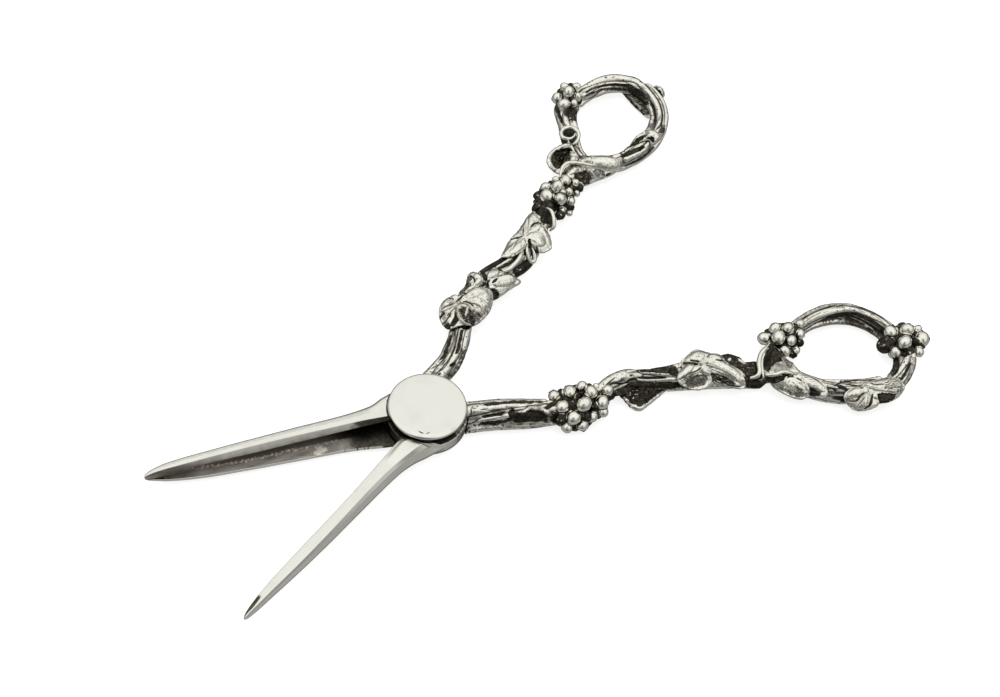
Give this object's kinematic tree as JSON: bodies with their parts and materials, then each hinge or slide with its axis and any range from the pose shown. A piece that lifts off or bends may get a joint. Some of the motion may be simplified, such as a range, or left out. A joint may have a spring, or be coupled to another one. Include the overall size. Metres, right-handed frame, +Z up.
{
  "type": "grape shears",
  "caption": "Silver grape shears: crossed arms on a riveted disc, hollow channel blade and slim tongue blade, vine-branch shanks and finger bows dressed with leaves, grapes and tendrils.",
  "frame": {"origin": "pivot axis on the resting plane, at the middle of the under-disc", "axes": "+X from the pivot towards the handles, along the line that halves the angle between them; +Z up along the rivet; blades point to -X"},
  "size_m": [0.1775, 0.1198, 0.0086],
  "materials": {
    "silver_polished": "polished silver with fine wear",
    "silver_vine": "cast silver bark with darkened grooves",
    "silver_leaf": "cast and chased silver, darkened recesses",
    "silver_fruit": "burnished silver grapes, darkened between",
    "silver_tendril": "drawn silver wire, burnished"
  },
  "bodies": {
    "channel_arm": {"a_finger_bow": "silver_vine", "a_grapes_bow_end": "silver_fruit", "a_grapes_bow_root": "silver_fruit", "a_grapes_neck": "silver_fruit", "a_leaf_back": "silver_leaf", "a_leaf_bow_root": "silver_leaf", "a_leaf_bow_side": "silver_leaf", "a_leaf_mid": "silver_leaf", "a_leaf_under": "silver_leaf", "a_tendril": "silver_tendril", "a_tendril_twig": "silver_tendril", "a_vine_shank": "silver_vine", "channel_blade": "silver_polished", "pivot_boss": "silver_polished", "pivot_cap": "silver_polished", "pivot_pin": "silver_polished"},
    "tongue_arm": {"b_bud": "silver_leaf", "b_finger_bow": "silver_vine", "b_grapes_bow": "silver_fruit", "b_grapes_mid": "silver_fruit", "b_leaf_bow_end": "silver_leaf", "b_leaf_bow_root": "silver_leaf", "b_leaf_curl": "silver_leaf", "b_leaf_mid": "silver_leaf", "b_leaf_neck": "silver_leaf", "b_leaf_neck_back": "silver_leaf", "b_leaf_side": "silver_leaf", "b_leaf_wrap": "silver_leaf", "b_tendril_coil": "silver_tendril", "b_tendril_grapes": "silver_tendril", "b_tendril_mid": "silver_tendril", "b_tendril_root": "silver_tendril", "b_tendril_strand": "silver_tendril", "b_vine_shank": "silver_vine", "tongue_blade": "silver_polished"}
  },
  "joints": [
    {"name": "pivot", "type": "hinge", "parent": "channel_arm", "child": "tongue_arm", "pos_m": [0, 0, 0], "axis": [0, 0, 1], "range_deg": [-35, 50]}
  ]
}
